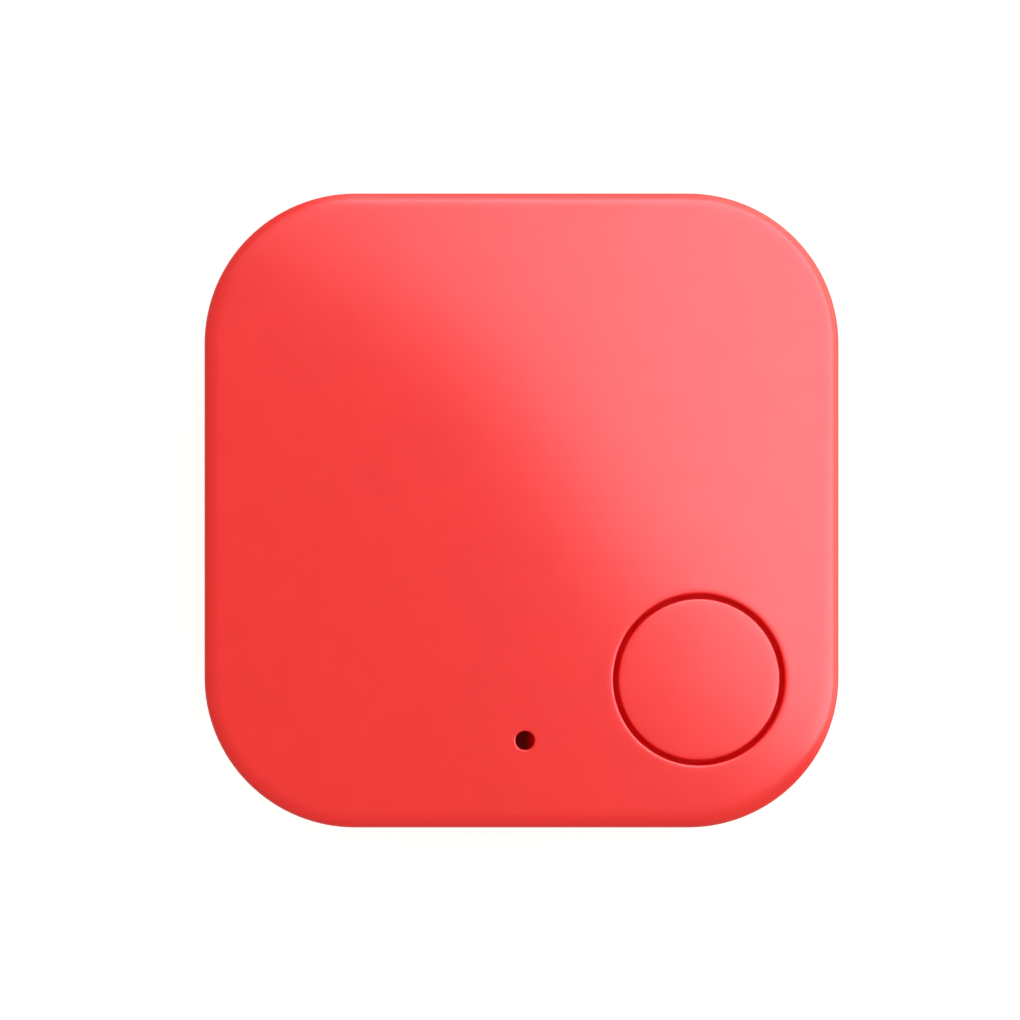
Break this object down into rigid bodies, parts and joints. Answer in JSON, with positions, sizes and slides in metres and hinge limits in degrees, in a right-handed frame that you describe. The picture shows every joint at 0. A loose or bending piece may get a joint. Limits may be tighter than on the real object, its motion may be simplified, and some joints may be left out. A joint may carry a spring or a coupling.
{
  "type": "bluetooth tracker tag",
  "caption": "Rounded-square Bluetooth tracker tag in satin red plastic, with a flush round push button and a sound port; the front lifts off over the coin cell and board.",
  "frame": {"origin": "centre of the back face, on the surface that the tag lies on", "axes": "+Z out of the front face, +Y towards the top edge, +X towards the side with the button"},
  "size_m": [0.036, 0.036, 0.0062],
  "materials": {
    "red_front": "satin ABS, fine spark grain",
    "red_back": "satin ABS, fine spark grain",
    "red_button": "satin ABS, fine spark grain",
    "screen_cloth": "woven dust screen",
    "foam": "closed-cell foam",
    "adhesive": "soft white adhesive",
    "brass_plate": "rolled, lightly tarnished",
    "piezo_ceramic": "silvered face",
    "gold_spring": "gold flash over phosphor bronze",
    "solder_mask": "green solder mask",
    "masked_copper": "copper under green solder mask",
    "gold_pad": "immersion gold",
    "chip_black": "moulded epoxy",
    "tin": "tinned, reflowed",
    "alumina": "fired ceramic",
    "nickel_lid": "nickel-plated lid",
    "capacitor_tan": "fired ceramic",
    "resistor_black": "glass-coated",
    "ferrite": "sintered ferrite",
    "copper_wire": "enamelled copper wire",
    "switch_black": "moulded nylon",
    "spring_steel": "rolled stainless",
    "plunger_ivory": "moulded acetal",
    "cell_steel": "nickel-plated steel",
    "cell_cap_steel": "nickel-plated steel, pebbled",
    "gasket": "nylon",
    "cathode": "pressed powder",
    "separator": "non-woven",
    "lithium": "rolled soft metal"
  },
  "bodies": {
    "case_back": {"back_shell": "red_back", "piezo_springs": "gold_spring", "circuit_board": "solder_mask", "antenna_trace": "masked_copper", "test_pads": "gold_pad", "radio_chip": "chip_black", "chip_terminals": "tin", "crystal_bases": "alumina", "crystal_lids": "nickel_lid", "capacitor_bodies": "capacitor_tan", "resistor_bodies": "resistor_black", "end_caps": "tin", "inductor_core": "ferrite", "inductor_winding": "copper_wire", "transistor_body": "chip_black", "transistor_leads": "tin", "switch_housing": "switch_black", "switch_terminals": "tin", "switch_dome": "spring_steel", "switch_cover": "spring_steel", "positive_contacts": "gold_spring", "negative_contact": "gold_spring"},
    "case_front": {"front_shell": "red_front", "foam_pad": "foam", "port_screen": "screen_cloth", "piezo_adhesive": "adhesive", "piezo_plate": "brass_plate", "piezo_ceramic": "piezo_ceramic"},
    "cell": {"cell_can": "cell_steel", "cell_gasket": "gasket", "cell_cap": "cell_cap_steel", "cell_cathode": "cathode", "cell_separator": "separator", "cell_lithium": "lithium"},
    "button": {"button_cap": "red_button"},
    "plunger": {"switch_plunger": "plunger_ivory"}
  },
  "joints": [
    {"name": "front_lift", "type": "slide", "parent": "case_back", "child": "case_front", "axis": [0, 0, 1], "range_m": [0, 0.02]},
    {"name": "cell_lift", "type": "slide", "parent": "case_back", "child": "cell", "axis": [0, 0, 1], "range_m": [0, 0.01]},
    {"name": "button_press", "type": "slide", "parent": "case_front", "child": "button", "axis": [0, 0, -1], "range_m": [0, 0.00025], "stiffness_N_per_m": 1500},
    {"name": "plunger_press", "type": "slide", "parent": "case_back", "child": "plunger", "axis": [0, 0, -1], "range_m": [0, 0.00025], "deforming": ["switch_dome"]}
  ],
  "couplings": [
    {"joint": "cell_lift", "follows": "front_lift", "ratio": 0.5},
    {"joint": "plunger_press", "follows": "button_press", "ratio": 1}
  ]
}
